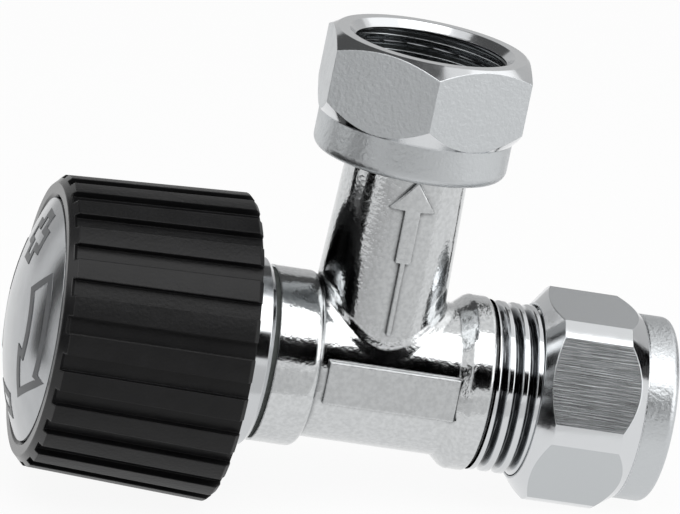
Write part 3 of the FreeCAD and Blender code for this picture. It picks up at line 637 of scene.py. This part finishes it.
@dataclass
class Tee:
    """The forged body, with its pipe thread cut as a helix and its branch rounded into the barrel."""

    thread: ThreadForm = ThreadForm()
    core_mm: float = 9.1
    run_out_mm: float = 1.1
    lead_in_mm: float = 0.9
    barrel_mm: float = 9.4
    branch_foot_mm: float = 8.3
    branch_top_mm: float = 7.5
    branch_height_mm: float = 26.4
    fillet_mm: float = 1.1
    fillet_around: int = 180
    fillet_steps: int = 8
    buried_share: float = 0.5
    settling_rounds: int = 6

    def branch_radius(self, height: float) -> float:
        """Return the drafted branch's radius at a height."""
        change = (self.branch_top_mm - self.branch_foot_mm) * height / self.branch_height_mm
        return self.branch_foot_mm + change

    def fillet_section(self, angle: float, centre: float) -> list[Vector]:
        """Return a section of the fillet between barrel and branch.

        Args:
            angle: Angle round the branch.
            centre: Place of the branch's axis along the valve.

        Returns:
            Points from the branch to the barrel, then one inside the corner.
        """
        across, along = math.sin(angle), math.cos(angle)
        height = self.barrel_mm
        for _ in range(self.settling_rounds):
            out = self.branch_radius(height)
            height = math.sqrt(self.barrel_mm ** 2 - (out * across) ** 2)
        corner = Vector((centre + out * along, out * across, height))
        up = height + self.fillet_mm
        above = self.branch_radius(up)
        on_branch = Vector((centre + above * along, above * across, up))
        fall = out * across ** 2 / height
        reach = out + self.fillet_mm / math.hypot(1.0, fall)
        low = math.sqrt(self.barrel_mm ** 2 - (reach * across) ** 2)
        on_barrel = Vector((centre + reach * along, reach * across, low))
        shares = [step / self.fillet_steps for step in range(self.fillet_steps + 1)]
        points = [on_branch * (1 - share) ** 2 + corner * 2 * share * (1 - share) + on_barrel * share ** 2
                  for share in shares]
        inside = corner * 2 - (on_branch + on_barrel) / 2
        return points + [corner.lerp(inside, self.buried_share)]

    def add_fillet(self, shell: Shell) -> None:
        """Lay a closed strip in the corner between barrel and branch, as a forging die rounds it.

        Args:
            shell: The body's mesh.
        """
        low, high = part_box("swivel_nut")
        centre = (low.x + high.x) / 2 / MM
        sections = []
        for step in range(self.fillet_around):
            points = self.fillet_section(math.tau * step / self.fillet_around, centre)
            sections.append([shell.verts.new(point * MM) for point in points])
        add_ring(shell, sections)

    def build(self, forging: Material, threaded: Material) -> list[Piece]:
        """Build the body.

        Args:
            forging: The finish of its outside.
            threaded: The finish of its thread.

        Returns:
            The body.
        """
        shell = copied("valve_body")
        wall = TurnedWall(Axis.VALVE, Vector(), self.thread.major)
        start, end = wall.recess(shell, self.core_mm)

        def surface(along: float, angle: float) -> float:
            """Shape the thread: plain at the shoulder, chamfered at the mouth.

            Args:
                along: Place along the axis, in millimetres.
                angle: Angle round it, in radians.

            Returns:
                The radius in millimetres.
            """
            depth = (self.thread.major - self.thread.minor) * smoothstep((along - start) / self.run_out_mm)
            radius = self.thread.major - depth * (1.0 - self.thread.rise(along - start, angle))
            return min(radius, self.thread.minor + (end - along) / self.lead_in_mm)

        wall.sleeve(shell, start, end, self.core_mm - wall.overlap_mm, surface)
        self.add_fillet(shell)
        return [stand_in(shell, "valve_body_threaded", "valve_body", Body.VALVE,
                         [forging, threaded])]


@dataclass
class SwivelNut:
    """The union nut on the branch, with its pipe thread cut inside as a helix."""

    thread: ThreadForm = ThreadForm()
    backing_mm: float = 10.8
    fade_mm: float = 0.6
    rim_mm: float = 1.6
    rim_slant: float = 0.2
    cone_slant: float = 0.95
    cone_start_mm: float = 2.0
    cone_reach_mm: float = 11.5

    def is_turned(self, face: bmesh.types.BMFace, base: Vector, height: float) -> bool:
        """Tell whether a face belongs to the rim or to the cone under the hexagon.

        Args:
            face: A face of the nut's mesh.
            base: The middle of the nut's lower end, in metres.
            height: The nut's height in millimetres.

        Returns:
            True where the lathe cut it after the flats were blasted.
        """
        spot = (face.calc_center_median() - base) / MM
        if spot.z > height - self.rim_mm:
            return face.normal.z > self.rim_slant
        down = self.rim_slant < -face.normal.z < self.cone_slant
        return down and spot.z > self.cone_start_mm and spot.xy.length > self.cone_reach_mm

    def build(self, frosted: Material, threaded: Material, turned: Material) -> list[Piece]:
        """Build the nut.

        Args:
            frosted: The finish of its flats and collar.
            threaded: The finish of its thread.
            turned: The finish of its cones, its end face and the chamfer of its mouth.

        Returns:
            The nut.
        """
        low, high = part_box("swivel_nut")
        middle = (low + high) / 2
        shell = copied("swivel_nut")
        shell.normal_update()
        base = Vector((middle.x, middle.y, low.z))
        for face in shell.faces:
            if self.is_turned(face, base, (high.z - low.z) / MM):
                face.material_index = THIRD
        wall = TurnedWall(Axis.BRANCH, Vector((middle.x, middle.y, 0.0)), self.thread.minor)
        start, end = wall.recess(shell, self.backing_mm)

        def surface(along: float, angle: float) -> float:
            """Shape the thread, fading to plain at both ends.

            Args:
                along: Place along the axis, in millimetres.
                angle: Angle round it, in radians.

            Returns:
                The radius in millimetres.
            """
            fade = smoothstep((along - start) / self.fade_mm) * smoothstep((end - along) / self.fade_mm)
            depth = (self.thread.major - self.thread.minor) * fade
            return self.thread.minor + depth * self.thread.rise(along, angle)

        wall.sleeve(shell, start, end, self.backing_mm + wall.overlap_mm, surface)
        return [stand_in(shell, "swivel_nut_threaded", "swivel_nut", Body.SWIVEL,
                         [frosted, threaded, turned])]


@dataclass
class CompressionEnd:
    """The compression nut, with turned corners and cones brighter than its flats, and its olive."""

    axial_slack: float = 0.02
    end_slant: float = 0.95
    cone_mm: float = 10.8
    cone_end_mm: float = 13.05
    flat_mm: float = 12.0
    flat_slack_mm: float = 0.3

    def kind_of(self, face: bpy.types.MeshPolygon, start: float) -> NutFace:
        """Return what kind of face of the nut one is.

        Args:
            face: A face of the nut's mesh.
            start: Where the nut begins along the valve, in metres.

        Returns:
            A flat, a turned corner or cone, or the frosted rest.
        """
        if abs(face.normal.x) > self.axial_slack:
            outside = face.center.yz.length > self.cone_mm * MM
            on_cone = outside and face.center.x < start + self.cone_end_mm * MM
            return NutFace.TURNED if on_cone and abs(face.normal.x) < self.end_slant else NutFace.FROSTED
        plane = face.normal.yz.dot(face.center.yz) / MM
        if abs(plane - self.flat_mm) < self.flat_slack_mm:
            return NutFace.FLAT
        return NutFace.TURNED if plane > self.flat_mm else NutFace.FROSTED

    def build(self, flats: Material, strips: Material, frosted: Material,
              brass: Material) -> list[Piece]:
        """Dress the nut, face by face, and the olive.

        Args:
            flats: The finish of the nut's flats.
            strips: The finish of its cones and of the strips where its corners are turned off.
            frosted: The finish of its collar and bore.
            brass: The olive's finish.

        Returns:
            The nut and the olive.
        """
        nut = dress("compression_nut", flats)
        mesh = nut.data
        mesh.materials.append(strips)
        mesh.materials.append(frosted)
        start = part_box("compression_nut")[0].x
        for face in mesh.polygons:
            face.material_index = self.kind_of(face, start)
        return [nut, dress("olive", brass)]


@dataclass(frozen=True)
class TurningMark:
    """A plain sign for turning: two outlined curved arrows, with a plus and a minus between them.

    Its places are in millimetres and degrees on the cap's face.
    """

    arc_mm: float = 10.3
    band_mm: float = 2.0
    head_mm: float = 3.2
    tail_deg: float = -40.0
    neck_deg: float = 18.0
    tip_deg: float = 46.0
    arm_mm: float = 2.8
    arm_half_mm: float = 1.1
    line_mm: float = 0.9
    mitre_floor: float = 0.55
    step_mm: float = 1.2
    steps: int = 16

    def arrow(self, middle_deg: float) -> list[Vector]:
        """Draw a curved arrow.

        Args:
            middle_deg: The angle that it lies round.

        Returns:
            The points of its outline.
        """

        def at(reach: float, turn: float) -> Vector:
            """Return a point by its distance from the middle and its angle along the arrow."""
            angle = math.radians(middle_deg + turn)
            return Vector((reach * math.cos(angle), reach * math.sin(angle)))

        sweep = self.neck_deg - self.tail_deg
        turns = [self.tail_deg + sweep * step / self.steps for step in range(self.steps + 1)]
        head = [
            at(self.arc_mm + self.head_mm, self.neck_deg),
            at(self.arc_mm, self.tip_deg),
            at(self.arc_mm - self.head_mm, self.neck_deg),
        ]
        outer = [at(self.arc_mm + self.band_mm, turn) for turn in turns]
        inner = [at(self.arc_mm - self.band_mm, turn) for turn in reversed(turns)]
        return outer + head + inner

    def plus(self) -> list[Vector]:
        """Draw a plus above the middle.

        Returns:
            The points of its outline.
        """
        arm = [
            Vector((self.arm_half_mm, self.arm_mm)),
            Vector((-self.arm_half_mm, self.arm_mm)),
            Vector((-self.arm_half_mm, self.arm_half_mm)),
        ]
        quarters = [Matrix.Rotation(math.pi / 2 * quarter, 2) for quarter in range(4)]
        return [Vector((0.0, self.arc_mm)) + quarter @ spot for quarter in quarters for spot in arm]

    def minus(self) -> list[Vector]:
        """Draw a minus below the middle.

        Returns:
            The points of its outline.
        """
        wide, high = self.arm_mm, self.arm_half_mm
        corners = [(wide, high), (-wide, high), (-wide, -high), (wide, -high)]
        return [Vector((over, up - self.arc_mm)) for over, up in corners]

    def divided(self, outline: list[Vector]) -> list[Vector]:
        """Divide an outline into steps short enough to follow the dome.

        Args:
            outline: The points of a closed outline.

        Returns:
            The same outline with more points.
        """
        points = []
        for spot, after in zip(outline, outline[1:] + outline[:1]):
            parts = max(1, int((after - spot).length / self.step_mm))
            points += [spot.lerp(after, part / parts) for part in range(parts)]
        return points

    def outlines(self) -> list[list[Vector]]:
        """Return every outline of the mark."""
        shapes = [self.arrow(0.0), self.arrow(180.0), self.plus(), self.minus()]
        return [self.divided(shape) for shape in shapes]

    def stroke(self, outline: list[Vector]) -> list[tuple[Vector, Vector]]:
        """Give an outline the line's width.

        Args:
            outline: The points of a closed outline.

        Returns:
            The line's two sides at each point, with mitred corners.
        """
        sides = []
        for before, spot, after in zip(outline[-1:] + outline[:-1], outline, outline[1:] + outline[:1]):
            arriving = (spot - before).normalized()
            leaving = (after - spot).normalized()
            across = Vector((-arriving.y, arriving.x))
            mitre = (across + Vector((-leaving.y, leaving.x))).normalized()
            half = self.line_mm / 2 / max(mitre.dot(across), self.mitre_floor)
            sides.append((spot - mitre * half, spot + mitre * half))
        return sides


@dataclass
class Knob:
    """The ribbed knob with its smooth rim, its printed cap and its screw."""

    rim_mm: float = 3.0
    rim_slant: float = 0.3
    mark: TurningMark = TurningMark()
    dome_mm: float = 3.4
    pole_mm: float = 2.0
    pole_slack_mm: float = 0.05
    ink_mm: float = 0.08

    def build_cap(self, silver: Material, ink: Material) -> Piece:
        """Build the cap, even at the pole of its dome, with the mark laid on it.

        Args:
            silver: The cap's finish.
            ink: The mark's finish.

        Returns:
            The cap.
        """
        low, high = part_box("knob_cap")
        edge = (high.y - low.y) / 2 / MM
        radius = (edge ** 2 + self.dome_mm ** 2) / (2 * self.dome_mm)
        centre = Vector((low.x / MM + radius, 0.0, 0.0))
        shell = copied("knob_cap")
        normals = shell.loops.layers.float_vector[NORMALS]
        for vert in shell.verts:
            out = vert.co / MM - centre
            if out.yz.length < self.pole_mm and abs(out.length - radius) < self.pole_slack_mm:
                for corner in vert.link_loops:
                    corner[normals] = out.normalized()

        def lifted(spot: Vector, height: float) -> bmesh.types.BMVert:
            """Add a point over or under the dome.

            Args:
                spot: Its place on the cap's face, in millimetres.
                height: Its height over the dome, in millimetres.

            Returns:
                The new point.
            """
            fall = math.sqrt(radius ** 2 - spot.length_squared)
            out = Vector((-fall, spot.x, spot.y)) / radius
            return shell.verts.new((centre + out * (radius + height)) * MM)

        for outline in self.mark.outlines():
            sections = [[lifted(inner, self.ink_mm), lifted(outer, self.ink_mm),
                         lifted(outer, -self.ink_mm), lifted(inner, -self.ink_mm)]
                        for inner, outer in self.mark.stroke(outline)]
            add_ring(shell, sections, SECOND)
        return stand_in(shell, "knob_cap_printed", "knob_cap", Body.HANDLE, [silver, ink])

    def build(self, plastic: Material, smooth: Material, silver: Material,
              ink: Material, steel: Material) -> list[Piece]:
        """Dress the knob and its screw, and build its cap.

        Args:
            plastic: The finish of the knob's ribs.
            smooth: The finish of its rim round the cap.
            silver: The cap's finish.
            ink: The finish of the mark on the cap.
            steel: The screw's finish.

        Returns:
            The knob, its cap and its screw.
        """
        knob = dress("knob", plastic)
        mesh = knob.data
        mesh.materials.append(smooth)
        front = min(vert.co.x for vert in mesh.vertices)
        for face in mesh.polygons:
            if face.normal.x < -self.rim_slant and face.center.x < front + self.rim_mm * MM:
                face.material_index = SECOND
        return [knob, self.build_cap(silver, ink), dress("knob_screw", steel)]


@dataclass
class Headwork:
    """The bonnet and what turns, lifts and seals inside it."""

    def build(self, finishes: dict[str, Material]) -> list[Piece]:
        """Dress each piece in the material that its node's name has there, and return them all."""
        return [dress(node, material) for node, material in finishes.items()]


@dataclass
class PhotoCamera:
    """A camera at the photograph's place, told in degrees, millimetres and pixels of its frame."""

    azimuth: float = -12.6
    elevation: float = 14.2
    roll: float = -11.64
    distance_mm: float = 1000.0
    pixels_per_mm: float = 8.194
    origin_px: tuple[float, float] = (460.35, 381.16)
    image_px: tuple[int, int] = (680, 514)
    sensor_mm: float = 36.0
    clip_share: float = 0.1

    def axes(self) -> tuple[Vector, Vector, Vector]:
        """Turn the camera's angles into directions.

        Returns:
            The view's right, up and backward directions in the frame.
        """
        turn, tilt, roll = (math.radians(angle) for angle in (self.azimuth, self.elevation, self.roll))
        reach = math.cos(tilt)
        ahead = Vector((-math.sin(turn) * reach, math.cos(turn) * reach, -math.sin(tilt)))
        level = Vector((math.cos(turn), math.sin(turn), 0.0))
        upward = level.cross(ahead)
        right = math.cos(roll) * level - math.sin(roll) * upward
        up = math.sin(roll) * level + math.cos(roll) * upward
        return right, up, -ahead

    def build(self) -> None:
        """Place the camera and make it the scene's own."""
        right, up, back = self.axes()
        over = (self.image_px[0] / 2 - self.origin_px[0]) / self.pixels_per_mm
        down = (self.image_px[1] / 2 - self.origin_px[1]) / self.pixels_per_mm
        data = bpy.data.cameras.new("photo_camera")
        data.sensor_width = self.sensor_mm
        data.lens = self.pixels_per_mm * self.distance_mm * self.sensor_mm / self.image_px[0]
        data.clip_start = self.distance_mm * MM * self.clip_share
        camera = bpy.data.objects.new("photo_camera", data)
        place = Matrix((right, up, back)).transposed().to_4x4()
        place.translation = (right * over - up * down + back * self.distance_mm) * MM
        camera.matrix_world = place
        bpy.context.scene.collection.objects.link(camera)
        bpy.context.scene.camera = camera


@dataclass(frozen=True)
class Card:
    """A flat card of the studio, in millimetres of the table.

    It goes across from its left to its right edge, away from the camera from its near to its far edge,
    and in height from the near edge to the far one. Its glow goes from left to right, and a black card
    has none. Its turn, in degrees, carries it round the table's middle to the left.
    """

    name: str
    across: Span
    away: Span
    height: Span
    glow: Span = (0.0, 0.0)
    turn: float = 0.0


@dataclass(frozen=True)
class Lamp:
    """A soft box of the studio, in millimetres of the table.

    It has a middle, a width and height, and a face whose radiance is 1 where it looks white.
    """

    name: str
    spot: Vector
    size: tuple[float, float]
    radiance: float


@dataclass
class Studio:
    """The table under the valve, the white background, the lamps and the cards round it."""

    camera: PhotoCamera
    floor_mm: float = 3000.0
    aim_mm: float = 25.0
    background: str = "#ffffff"
    table_colour: str = "#f6f6f6"
    room_light: float = 0.55
    shadow_share: float = 0.08

    def table(self) -> Matrix:
        """Return the table's place: it carries the knob's rim and the compression nut's end.

        Returns:
            A matrix whose x goes right, y away from the camera and z up, under the valve's middle.
        """
        knob = min((vert.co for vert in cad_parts["knob"].data.vertices), key=lambda spot: spot.z)
        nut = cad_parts["compression_nut"].data.vertices
        slope = min((vert.co.z - knob.z) / (vert.co.x - knob.x) for vert in nut)
        tilt = Matrix.Rotation(-math.atan(slope), 4, "Y")
        middle = (CAD_BOX[0].x + CAD_BOX[1].x) / 2
        base = Vector((middle, 0.0, knob.z + slope * (middle - knob.x)))
        return Matrix.Translation(base) @ tilt @ Matrix.Rotation(math.radians(self.camera.azimuth), 4, "Z")

    def glow(self, name: str, left: float, right: float) -> Material:
        """Make a card's own light, even or fading across it.

        Args:
            name: The material's name.
            left: Brightness at its left edge.
            right: Brightness at its right edge.

        Returns:
            The material.
        """
        material = bpy.data.materials.new(name)
        tree = emptied(material)
        place = add_node(tree, "ShaderNodeTexCoord").outputs["Generated"]
        split = add_node(tree, "ShaderNodeSeparateXYZ", links={"Vector": place})
        level = add_node(tree, "ShaderNodeMapRange", {
            "To Min": left,
            "To Max": right,
        }, {"Value": split.outputs["X"]})
        light = add_node(tree, "ShaderNodeEmission", links={"Strength": level.outputs["Result"]})
        add_node(tree, "ShaderNodeOutputMaterial", links={"Surface": light.outputs["Emission"]})
        return material

    def sheet(self, material: Material, corners: list[tuple], place: Matrix) -> Piece:
        """Add a flat sheet to the studio.

        Args:
            material: Its material, whose name it takes.
            corners: Its four corners in millimetres.
            place: Where they are told from.

        Returns:
            The sheet.
        """
        mesh = bpy.data.meshes.new(material.name)
        mesh.from_pydata([place @ (Vector(corner) * MM) for corner in corners], [], [(0, 1, 2, 3)])
        mesh.materials.append(material)
        piece = bpy.data.objects.new(material.name, mesh)
        bpy.context.scene.collection.objects.link(piece)
        return piece

    def add_card(self, card: Card, table: Matrix) -> None:
        """Stand a card on the table, out of the camera's sight.

        Args:
            card: The card.
            table: The table's place.
        """
        (left, right), (near, far), (low, high) = card.across, card.away, card.height
        corners = [(left, near, low), (right, near, low), (right, far, high), (left, far, high)]
        place = table @ Matrix.Rotation(math.radians(card.turn), 4, "Z")
        piece = self.sheet(self.glow(card.name, *card.glow), corners, place)
        piece.visible_camera = False
        piece.visible_diffuse = False
        piece.visible_shadow = False

    def seen(self, tree: Tree) -> Socket:
        """Tell what is seen from what only lights.

        Args:
            tree: The node tree that asks.

        Returns:
            A socket that is 1 for what the eye, a mirror or glass sees, and 0 elsewhere.
        """
        path = add_node(tree, "ShaderNodeLightPath")
        either = add_node(tree, "ShaderNodeMath", {"operation": "MAXIMUM"}, {
            0: path.outputs["Is Camera Ray"],
            1: path.outputs["Is Glossy Ray"],
        })
        any_of = add_node(tree, "ShaderNodeMath", {"operation": "MAXIMUM"}, {
            0: either.outputs["Value"],
            1: path.outputs["Is Transmission Ray"],
        })
        return any_of.outputs["Value"]

    def add_floor(self, table: Matrix) -> None:
        """Lay the white table top, which keeps a faint shadow.

        Args:
            table: The table's place.
        """
        material = bpy.data.materials.new("white_table")
        tree = emptied(material)
        matt = add_node(tree, "ShaderNodeBsdfDiffuse", {"Color": linear(self.table_colour)})
        white = add_node(tree, "ShaderNodeEmission", {"Color": linear(self.background), "Strength": 1.0})
        share = add_node(tree, "ShaderNodeMath", {"operation": "MULTIPLY"}, {0: self.seen(tree)})
        share.inputs[1].default_value = 1.0 - self.shadow_share
        mixed = add_node(tree, "ShaderNodeMixShader", links={
            "Fac": share.outputs["Value"],
            1: matt.outputs["BSDF"],
            2: white.outputs["Emission"],
        })
        add_node(tree, "ShaderNodeOutputMaterial", links={"Surface": mixed.outputs["Shader"]})
        half = self.floor_mm / 2
        corners = [(-half, -half, 0.0), (half, -half, 0.0), (half, half, 0.0), (-half, half, 0.0)]
        floor = self.sheet(material, corners, table)

    def add_lamp(self, lamp: Lamp, table: Matrix) -> None:
        """Hang a soft box that faces the valve, out of the camera's sight.

        Args:
            lamp: The soft box.
            table: The table's place.
        """
        data = bpy.data.lights.new(lamp.name, "AREA")
        data.shape = "RECTANGLE"
        data.size, data.size_y = lamp.size[0] * MM, lamp.size[1] * MM
        data.energy = lamp.radiance * math.pi * data.size * data.size_y
        box = bpy.data.objects.new(lamp.name, data)
        away = lamp.spot - Vector((0.0, 0.0, self.aim_mm))
        place = away.to_track_quat("Z", "Y").to_matrix().to_4x4()
        place.translation = lamp.spot * MM
        box.matrix_world = table @ place
        box.visible_camera = False
        bpy.context.scene.collection.objects.link(box)

    def add_world(self) -> None:
        """Surround the set with white for the eye and a plain level of light for the rest."""
        world = bpy.data.worlds.new("white_room")
        tree = emptied(world)
        level = add_node(tree, "ShaderNodeMapRange", {
            "To Min": self.room_light,
            "To Max": 1.0,
        }, {"Value": self.seen(tree)})
        light = add_node(tree, "ShaderNodeBackground", {"Color": linear(self.background)}, {
            "Strength": level.outputs["Result"],
        })
        add_node(tree, "ShaderNodeOutputWorld", links={"Surface": light.outputs["Background"]})
        bpy.context.scene.world = world

    def build(self) -> None:
        """Set the table, the background, the cards and the lamps."""
        table = self.table()
        self.add_world()
        self.add_floor(table)
        # What the chrome mirrors: black makes its dark bands, grey and white its light ones
        cards = [
            Card("black_card_round_camera", (-160, 330), (-300, -300), (56, 275)),
            Card("grey_table_in_front", (-300, 300), (-600, -32), (0.5, 0.5), glow=(0.42, 1.0)),
            Card("grey_ceiling", (-700, 139), (25, 900), (520, 480), glow=(0.1, 0.1)),
            Card("black_card_on_right", (-50, 50), (250, 250), (55, 180), turn=-66),
            Card("white_card_on_right", (-110, 110), (250, 250), (188, 430), glow=(1.45, 1.45), turn=-65),
            Card("black_card_on_left", (-45, 45), (250, 250), (10, 150), turn=118),
            Card("grey_backdrop", (-700, 700), (600, 601), (0, 400), glow=(0.6, 0.6)),
            Card("black_strip_behind", (-5, 5), (60, 260), (0.6, 0.6), turn=-43),
            Card("black_card_beside_knob", (-12, 12), (118, 118), (0, 60), turn=80),
        ]
        lamps = [
            Lamp("overhead_soft_box", Vector((60.0, -190.0, 385.0)), (600.0, 350.0), 1.75),
            Lamp("right_soft_box", Vector((520.0, -150.0, 200.0)), (300.0, 360.0), 1.5),
        ]
        for card in cards:
            self.add_card(card, table)
        for lamp in lamps:
            self.add_lamp(lamp, table)


def finishes() -> dict[str, Material]:
    """Build every finish.

    Returns:
        The materials by a short name.
    """
    made = {
        # Bright chrome on a hot forging: a mirror that ripples, with pebbled, broken reflections and
        # painted shade in its creases
        "forging": ForgedChrome("chrome_plated_brass_forged", "#cccecf", 0.07, 1.0),
        # Bright chrome on a turned flange: rings round the axis draw the mirror out along it
        "turning": LinedMetal("chrome_plated_brass_turned", "#c6c8ca", 0.10, 1.0,
                              line_mm=Vector((0.25, 6, 6))),
        # Bright chrome on a cut thread: clear bright crests over roots darkened with painted shade
        "body_thread": ThreadChrome("chrome_plated_thread_cut", "#cdcfd1", 0.10, 1.0),
        # Chrome on a tapped thread: greyer and softer, the grey being painted shade for the inside of the
        # nut, with painted shade in its roots too
        "nut_thread": ThreadChrome("chrome_plated_thread_tapped", "#a4a7a9", 0.22, 1.0,
                                   axis=Axis.BRANCH, centre_mm=-12.0),
        # Satin chrome on drawn hexagon bar: flats with lines along the bar and a soft grey look
        "drawn_flats": LinedMetal("satin_chrome_brass_drawn", "#bdc0c2", 0.23, 1.0,
                                  line_mm=Vector((5, 0.22, 0.22)), line_height_mm=0.015, dull_share=0.03),
        # Satin chrome on a blasted nut: a frosted grey that mottles.
        # The real grain is about 0.2 mm, too fine to show, so it is drawn at 0.5 mm
        "frosted_flats": LinedMetal("satin_chrome_brass_blasted", "#c2c5c7", 0.32, 1.0,
                                    line_mm=Vector((0.5, 0.5, 0.5)), line_height_mm=0.06),
        # Chrome on corners, cones and rims that were turned: clear bright and dark bands
        "corners": LinedMetal("bright_chrome_brass_turned_corner", "#d2d4d6", 0.09, 1.0,
                              line_mm=Vector((4, 0.3, 0.3)), line_height_mm=0.002),
        # Bare brass from the lathe: warm yellow with fine rings
        "brass": LinedMetal("bare_brass_turned", "#c9a558", 0.24, 1.0, line_mm=Vector((0.25, 5, 5))),
        # Bright drawn spring steel: grey, half polished
        "steel": LinedMetal("spring_steel_bright", "#b4b6b8", 0.28, 1.0, line_mm=Vector((0.5, 0.5, 0.5))),
        # Moulded nitrile rubber: matt black with a dusty bloom
        "rubber": GrainedSolid("nitrile_rubber_moulded", "#1d1d1e", 0.62, drift_colour="#262627"),
        # Pressed aramid fibre sheet: matt dark grey with short fibres
        "fibre": GrainedSolid("aramid_fibre_pressed", "#3c403e", 0.85, drift_colour="#484c4a",
                              drift_mm=0.8),
        # Turned acetal: waxy off-white
        "slip": GrainedSolid("acetal_turned", "#dcd9d0", 0.38, drift_colour="#e3e0d8"),
        # Moulded ABS with a spark-eroded grain: black that greys where light skims it.
        # The real grain is about 0.15 mm, too fine to show, so it is drawn at 0.4 mm
        "knob": GrainedSolid("black_abs_spark_grained", "#0b0b0c", 0.42, specular=0.25,
                             drift_colour="#101011", grain_mm=0.4, grain_height_mm=0.035, edge_mm=0.2),
        # Moulded ABS from a polished part of the tool: black with a soft sheen
        "knob_rim": GrainedSolid("black_abs_smooth_moulded", "#101011", 0.22, drift_colour="#151516",
                                 grain_height_mm=0.002, edge_mm=0.3),
        # Silver lacquer over moulded ABS: pale metal with a soft spread of light
        "cap": GrainedSolid("silver_lacquered_abs", "#a8aaac", 0.2, 1.0, drift_colour="#aeb0b2",
                            grain_mm=0.4, grain_height_mm=0.003),
        # Pad-printed ink on the lacquer: flat mid grey, duller than what it lies on
        "ink": GrainedSolid("grey_ink_pad_printed", "#4e5052", 0.4, drift_colour="#545658",
                            grain_height_mm=0.002, edge_mm=0.03),
    }
    return {key: finish.material() for key, finish in made.items()}


def main() -> None:
    """Build and report every sub-assembly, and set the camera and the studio."""
    logging.basicConfig(level=logging.INFO, format="%(message)s")
    bpy.context.scene.view_settings.view_transform = "Standard"
    made = finishes()
    pieces = Tee().build(made["forging"], made["body_thread"])
    pieces += SwivelNut().build(made["frosted_flats"], made["nut_thread"], made["corners"])
    pieces += CompressionEnd().build(made["drawn_flats"], made["corners"], made["frosted_flats"],
                                     made["brass"])
    pieces += Knob().build(made["knob"], made["knob_rim"], made["cap"], made["ink"], made["steel"])
    pieces += Headwork().build({
        "bonnet": made["turning"],
        "bonnet_gasket": made["fibre"],
        "spindle": made["brass"],
        "spindle_o_ring_upper": made["rubber"],
        "spindle_o_ring_lower": made["rubber"],
        "thrust_washer": made["slip"],
        "spindle_clip": made["steel"],
        "disc_carrier": made["brass"],
        "carrier_o_ring": made["rubber"],
        "seat_washer": made["rubber"],
        "washer_screw": made["steel"],
        "swivel_retaining_ring": made["steel"],
        "outlet_gasket": made["fibre"],
    })
    for piece in pieces:
        LOG.info("%s: %d faces, %s", piece.name, len(piece.data.polygons), piece.data.materials[0].name)
    camera = PhotoCamera()
    camera.build()
    Studio(camera).build()


if __name__ == "__main__":
    main()
